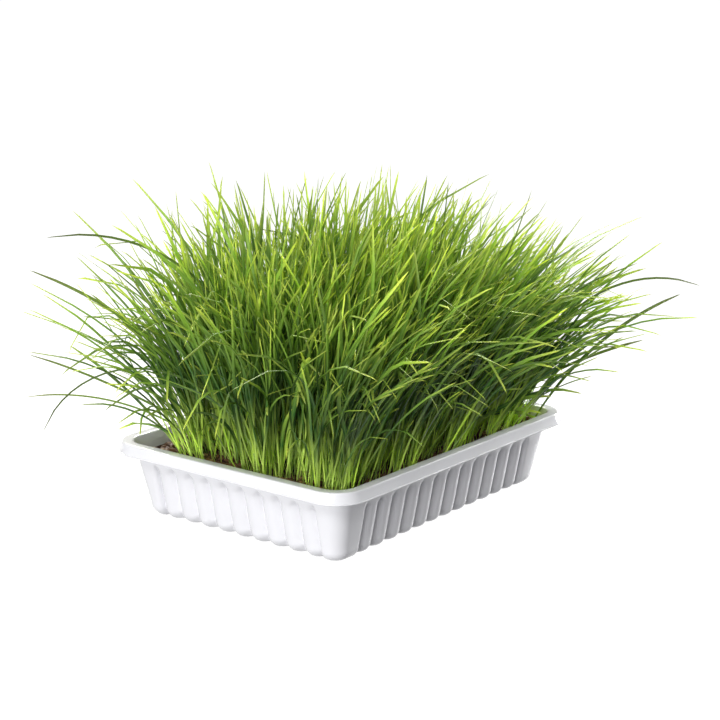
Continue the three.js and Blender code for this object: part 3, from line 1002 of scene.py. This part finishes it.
def husk_material():
    """Grain husks from pale straw to brown, streaked along the grain and darker at the tips."""
    material, tree, shader = nodes_of("grain_husk")
    spot, strip, _, along = strip_coordinates(tree)
    dark_brown = (0.10, 0.045, 0.018)
    brown = (0.18, 0.085, 0.03)
    tan = (0.27, 0.15, 0.05)
    straw = (0.42, 0.29, 0.11)
    tint = ramp(tree, random_of(tree, strip), [(0.0, dark_brown), (0.4, brown), (0.75, tan), (1.0, straw)])
    streak = noise_map(tree, spot, scale=60, detail=4, roughness=0.7)
    shade = ramp(tree, streak, [(0.3, (0.35, 0.3, 0.25)), (0.7, (1, 1, 1))])
    tone = blend(tree, 0.55, tint, shade, "MULTIPLY")
    ends = maths(tree, "ABSOLUTE", maths(tree, "MULTIPLY_ADD", along, 2.0, -1.0))
    dark_end = maths(tree, "POWER", ends, 5.0)
    colour = blend(tree, maths(tree, "MULTIPLY", dark_end, 0.6), tone, (0.06, 0.03, 0.015))
    tree.links.new(colour, shader.inputs["Base Color"])
    tree.links.new(maths(tree, "MULTIPLY_ADD", streak, 0.3, 0.45), shader.inputs["Roughness"])
    bump(tree, shader, streak, strength=0.4, distance=0.4 * MM)
    return material


def leaf_material(name, foot, stem, middle, upper, tip, glow):
    """A young leaf: colour along the blade from the colours given, a tint for each strip from shaded to lit,
    a pale midrib, fine veins, and light that shines through. For the stand's leaves the colour along the
    blade paints shade into the dark middle and light into the pale foot and the bright tip.
    """
    material, tree, shader = nodes_of(name)
    spot, strip, across, along = strip_coordinates(tree)
    # Colour from foot to tip. For the stand's leaves it is partly their own colour and partly painted.
    # Painted shade darkens the middle, where the stand is deep. Painted light brightens the pale foot and
    # stem, and the yellow tip, as if lit through from behind.
    along_colour = ramp(tree, along, [(0.0, foot), (0.13, stem), (0.46, middle), (0.81, upper), (1.0, tip)])
    lightness = maths(tree, "DIVIDE", strip, LEAF_VARIANTS - 1)
    shaded_leaf = (0.24, 0.40, 0.34)
    usual_leaf = (0.86, 0.96, 0.85)
    lit_leaf = (1.35, 1.42, 1.0)
    # Each strip's tint runs from a shaded copy of the leaf to a lit one. This is painted shade and painted
    # light, and partly the blades' own random tone.
    tint = ramp(tree, lightness, [(0.0, shaded_leaf), (0.5, usual_leaf), (1.0, lit_leaf)])
    tinted = blend(tree, 0.8, along_colour, tint, "MULTIPLY")
    off_rib = maths(tree, "ABSOLUTE", maths(tree, "SUBTRACT", across, 0.5))
    rib = maths(tree, "SUBTRACT", 1.0, maths(tree, "MULTIPLY", off_rib, 9.0))
    rib = maths(tree, "MAXIMUM", rib, 0.0)
    rib_colour = (0.34, 0.54, 0.10)
    ribbed = blend(tree, maths(tree, "MULTIPLY", rib, 0.35), tinted, rib_colour)
    veins = maths(tree, "SINE", maths(tree, "MULTIPLY", across, VEIN_TURNS))
    mottle = noise_map(tree, spot, scale=45, detail=4, roughness=0.6)
    patches = ramp(tree, mottle, [(0.3, (0.6, 0.7, 0.5)), (0.7, (1.15, 1.1, 1.0))])
    mottled = blend(tree, 0.35, ribbed, patches, "MULTIPLY")
    between_veins = maths(tree, "MULTIPLY_ADD", veins, 0.07, 0.93)
    vein_colour = (0.02, 0.05, 0.01)
    colour = blend(tree, between_veins, vein_colour, mottled)
    tree.links.new(colour, shader.inputs["Base Color"])
    tree.links.new(maths(tree, "MULTIPLY_ADD", mottle, 0.25, 0.22), shader.inputs["Roughness"])
    shader.inputs["Specular IOR Level"].default_value = 0.42
    relief = maths(tree, "MULTIPLY_ADD", veins, 0.3, maths(tree, "MULTIPLY", rib, -0.6))
    bump(tree, shader, relief, strength=0.35, distance=0.3 * MM)
    through = node(tree, "ShaderNodeBsdfTranslucent")
    tree.links.new(blend(tree, 1.0, colour, glow, "MULTIPLY"), through.inputs["Color"])
    both = node(tree, "ShaderNodeMixShader")
    both.inputs[0].default_value = LIGHT_THROUGH
    tree.links.new(shader.outputs[0], both.inputs[1])
    tree.links.new(through.outputs[0], both.inputs[2])
    tree.links.new(both.outputs[0], tree.nodes["Material Output"].inputs["Surface"])
    return material


# The camera, the floor and the lights

def look_at(thing, spot, target):
    thing.location = spot
    thing.rotation_euler = (Vector(target) - Vector(spot)).to_track_quat("-Z", "Y").to_euler()


def add_camera():
    camera = bpy.data.objects.new("camera", bpy.data.cameras.new("camera"))
    camera.data.sensor_width = SENSOR_WIDTH
    camera.data.lens = FOCAL_LENGTH
    camera.data.clip_end = CAMERA_REACH
    bpy.context.scene.collection.objects.link(camera)
    azimuth = math.radians(CAMERA_AZIMUTH)
    elevation = math.radians(CAMERA_ELEVATION)
    level = math.cos(elevation)
    forward = -Vector((math.sin(azimuth) * level, -math.cos(azimuth) * level, math.sin(elevation)))
    spot = Vector(CAMERA_SPOT)
    look_at(camera, spot, spot + forward)
    bpy.context.scene.camera = camera


def add_lamp(lamp):
    light = bpy.data.objects.new(lamp.name, bpy.data.lights.new(lamp.name, "AREA"))
    light.data.shape = "RECTANGLE"
    light.data.size = lamp.width
    light.data.size_y = lamp.height
    light.data.energy = lamp.power
    light.data.color = lamp.colour
    light.visible_camera = False
    bpy.context.scene.collection.objects.link(light)
    look_at(light, lamp.spot, lamp.target)


def white_floor():
    """A plain floor that is seen as clean white and throws no shadow or bounce."""
    half = FLOOR_HALF
    corners = ((-half, -half), (half, -half), (half, half), (-half, half))
    floor = build_mesh("floor", [(x, y, -FLOOR_DROP) for x, y in corners], [(0, 1, 2, 3)])
    material, _, shader = nodes_of("white_floor")
    shader.inputs["Base Color"].default_value = (0, 0, 0, 1)
    shader.inputs["Emission Color"].default_value = (1, 1, 1, 1)
    shader.inputs["Emission Strength"].default_value = 1.0
    floor.data.materials.append(material)
    floor.visible_diffuse = False
    floor.visible_transmission = False
    floor.visible_shadow = False


def add_light():
    world = bpy.data.worlds.new("studio")
    world.use_nodes = True
    background = world.node_tree.nodes["Background"]
    background.inputs["Color"].default_value = WORLD_COLOUR
    background.inputs["Strength"].default_value = WORLD_STRENGTH
    bpy.context.scene.world = world
    for lamp in LAMPS:
        add_lamp(lamp)


def place_tray_and_bed():
    soil = soil_material(
        "fibre_soil",
        dark=(0.016, 0.007, 0.004),
        light=(0.11, 0.045, 0.020),
        speck=(0.30, 0.18, 0.09),
    )
    bed = soil_material(
        "strewn_soil",
        dark=(0.022, 0.009, 0.004),
        light=(0.17, 0.068, 0.028),
        speck=(0.36, 0.22, 0.10),
    )
    place(make_tray(), tray_material(), "tray_plastic", "tray")
    place(make_medium(), soil, "growing_medium", "growing_medium")
    place(make_bed(), bed, "sprouted_grain", "seed_carpet")
    random = np.random.default_rng(SEED)
    grain = grain_shape()
    husks = strew("grain_husks", random, grain, HUSK_COUNT, HUSK_SIZE, sunk=0.35, tilt=0.25, margin=3 * MM)
    place(husks, husk_material(), "sprouted_grain")
    crumb = crumb_shape(random)
    crumbs = strew("soil_crumbs", random, crumb, CRUMB_COUNT, CRUMB_SIZE, sunk=0.3, tilt=1.0, margin=2 * MM)
    place(crumbs, soil, "growing_medium")


def place_grass():
    # The stand's leaf colours hold painted light and shade. The very dark middle is painted shade of the
    # deep stand. The pale foot and stem and the yellow tip are partly the leaf's own colour and partly
    # painted light.
    leaf = leaf_material(
        "young_leaf",
        foot=(0.84, 0.90, 0.36),
        stem=(0.76, 0.90, 0.19),
        middle=(0.030, 0.120, 0.018),
        upper=(0.32, 0.48, 0.07),
        tip=(0.80, 0.80, 0.17),
        glow=(1.25, 1.3, 0.55),
    )
    for column in range(TUFT_COLUMNS):
        for row in range(TUFT_ROWS):
            bare_corner = column == 0 and row == TUFT_ROWS - 1
            if not bare_corner:
                place(make_tuft(column, row), leaf, "grass_leaf", f"grass_tuft_{column + 1}_{row + 1}")
    long_leaf = leaf_material(
        "long_leaf",
        foot=(0.40, 0.48, 0.14),
        stem=(0.26, 0.42, 0.08),
        middle=(0.19, 0.31, 0.05),
        upper=(0.25, 0.34, 0.06),
        tip=(0.28, 0.29, 0.10),
        glow=(1.2, 1.1, 0.5),
    )
    for index, stray in enumerate(STRAYS):
        place(make_stray(stray, index), long_leaf, "stray_leaf", f"stray_blade_{stray.name}")


bpy.context.scene.view_settings.view_transform = "Standard"
place_tray_and_bed()
place_grass()
white_floor()
add_light()
add_camera()
